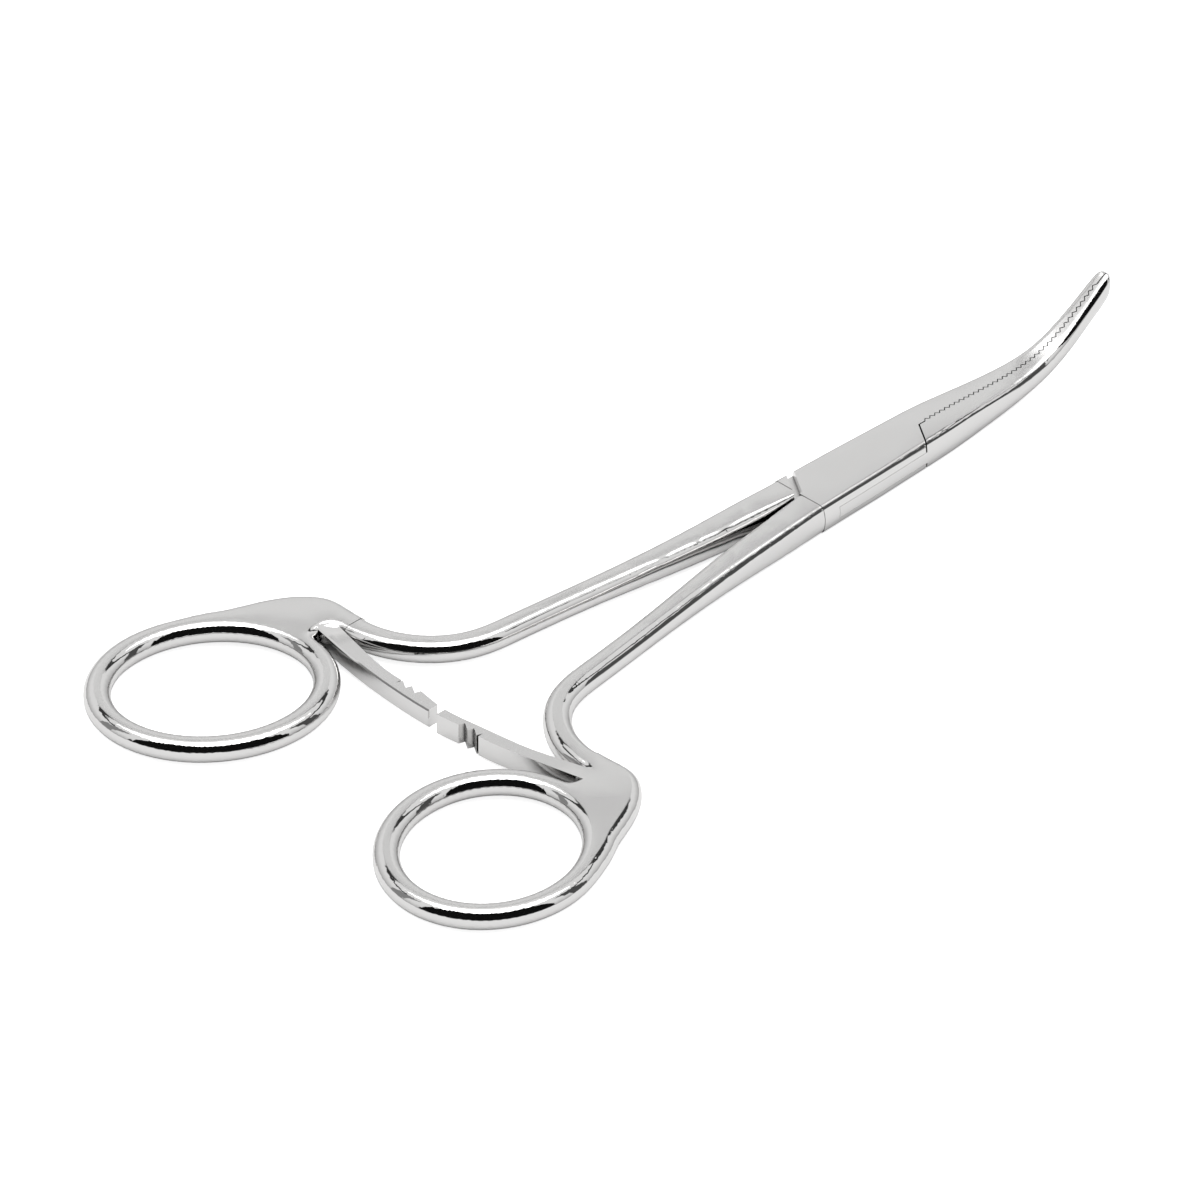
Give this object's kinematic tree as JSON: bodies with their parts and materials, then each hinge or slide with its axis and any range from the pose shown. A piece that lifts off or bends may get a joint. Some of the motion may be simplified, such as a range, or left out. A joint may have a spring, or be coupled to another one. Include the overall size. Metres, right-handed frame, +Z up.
{
  "type": "hemostat forceps",
  "caption": "Curved hemostat forceps with a box lock, finger rings, ratchet arms and cross-serrated jaws that narrow to rounded tips.",
  "frame": {"origin": "on the axis of the pivot pin, at the underside of the box", "axes": "+X along the forceps from the finger rings to the jaw tips, +Y to the ring of the male half, +Z up through the box, the way the jaws curve"},
  "size_m": [0.124, 0.0644, 0.0087],
  "materials": {
    "forged_steel": "polished stainless steel, satin on the flat faces",
    "pin_steel": "ground flush with the box faces"
  },
  "bodies": {
    "female": {"female_half": "forged_steel", "pivot_pin": "pin_steel"},
    "male": {"male_half": "forged_steel"}
  },
  "joints": [
    {"name": "box_lock", "type": "hinge", "parent": "female", "child": "male", "pos_m": [0, 0, 0], "axis": [0, 0, -1], "range_deg": [0, 70]}
  ]
}
